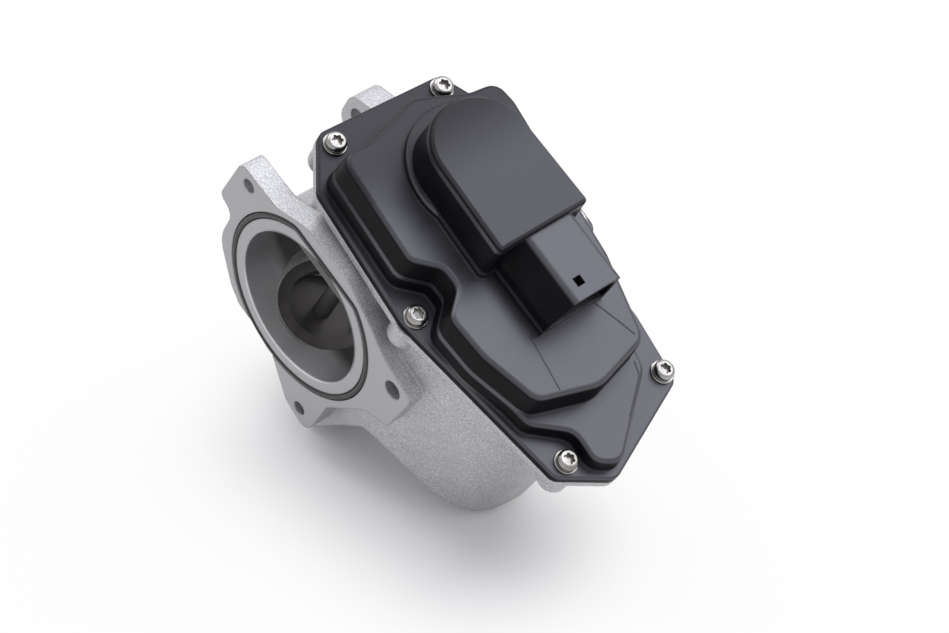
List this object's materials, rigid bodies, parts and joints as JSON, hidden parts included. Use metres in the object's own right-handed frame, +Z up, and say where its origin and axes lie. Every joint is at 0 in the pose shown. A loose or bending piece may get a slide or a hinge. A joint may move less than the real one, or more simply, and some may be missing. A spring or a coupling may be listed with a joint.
{
  "type": "exhaust gas recirculation valve",
  "caption": "Exhaust gas recirculation valve: cast air duct with bolted flanges, motor-driven gear train under a moulded cover, and a poppet that opens into the duct.",
  "frame": {"origin": "centre of the outlet port at the front flange face", "axes": "+Y along the air duct from the outlet face to the air inlet face, +Z up as the valve lies on a table with its cover facing up and to the right, +X towards the motor end"},
  "size_m": [0.1664, 0.0806, 0.1343],
  "materials": {
    "cast_aluminium": "fine as-cast grain, machined faces",
    "cover_plastic": "satin glass-filled, moulded",
    "gasket_rubber": "matte",
    "seal_rubber": "smooth",
    "plated_screws": "bright zinc plate",
    "bright_steel": "ground",
    "tinned_brass": "tinned",
    "board_laminate": "solder mask",
    "gear_plastic": "moulded",
    "sintered_steel": "sintered",
    "magnet": "ground ferrite",
    "spring_steel": "drawn",
    "motor_steel": "zinc plated sheet",
    "bronze": "sintered bronze",
    "lamination_steel": "stacked sheet",
    "copper": "turned copper",
    "carbon": "pressed carbon",
    "brass": "hobbed",
    "seat_steel": "heat tinted",
    "valve_steel": "heat tinted"
  },
  "bodies": {
    "valve_body": {"valve_body": "cast_aluminium", "gear_cover": "cover_plastic", "cover_gasket": "gasket_rubber", "cover_screws": "plated_screws", "cover_sleeves": "bright_steel", "cover_dowels": "bright_steel", "port_seal": "seal_rubber", "contact_pins": "tinned_brass", "sensor_board": "board_laminate", "output_post": "bright_steel", "intermediate_axle": "bright_steel", "return_spring": "spring_steel", "motor_can": "motor_steel", "motor_plate": "motor_steel", "motor_bearing": "bronze", "motor_magnets": "magnet", "motor_brushes": "carbon", "motor_screws": "plated_screws", "motor_terminals": "tinned_brass", "motor_wave_spring": "spring_steel", "guide_bush": "bronze", "stem_seal": "seal_rubber", "valve_seat": "seat_steel", "valve_spring": "spring_steel"},
    "motor_rotor": {"motor_shaft": "bright_steel", "motor_armature": "lamination_steel", "motor_commutator": "copper", "motor_pinion": "brass"},
    "intermediate_gear": {"intermediate_wheel": "gear_plastic", "intermediate_pinion": "sintered_steel"},
    "output_gear": {"sector_gear": "gear_plastic", "face_cam": "sintered_steel", "sensor_magnet": "magnet"},
    "poppet": {"valve_stem": "valve_steel", "valve_disc": "valve_steel", "spring_retainer": "spring_steel", "roller_pin": "bright_steel"},
    "roller": {"cam_roller": "bright_steel"}
  },
  "joints": [
    {"name": "motor_turn", "type": "hinge", "parent": "valve_body", "child": "motor_rotor", "pos_m": [0.05381, 0.0335, -0.03179], "axis": [0.5086, 0, 0.861], "range_deg": [0, 1348.5]},
    {"name": "intermediate_turn", "type": "hinge", "parent": "valve_body", "child": "intermediate_gear", "pos_m": [0.03185, 0.04033, -0.01882], "axis": [0.5086, 0, 0.861], "range_deg": [-299.68, 0]},
    {"name": "sector_turn", "type": "hinge", "parent": "valve_body", "child": "output_gear", "pos_m": [0.00172, 0.04, -0.00102], "axis": [0.5086, 0, 0.861], "range_deg": [0, 62]},
    {"name": "poppet_lift", "type": "slide", "parent": "valve_body", "child": "poppet", "axis": [-0.5086, 0, -0.861], "range_m": [0, 0.007], "deforming": ["valve_spring"]},
    {"name": "roller_turn", "type": "hinge", "parent": "poppet", "child": "roller", "pos_m": [0.0215, 0.024, 0.04131], "axis": [-0.2331, -0.9627, 0.1377], "range_deg": [0, 322.04]}
  ],
  "couplings": [
    {"joint": "intermediate_turn", "follows": "motor_turn", "ratio": -0.22222},
    {"joint": "sector_turn", "follows": "motor_turn", "ratio": 0.045977},
    {"joint": "poppet_lift", "follows": "motor_turn", "m_per_rad": 0.00029742},
    {"joint": "roller_turn", "follows": "motor_turn", "ratio": 0.2388}
  ]
}
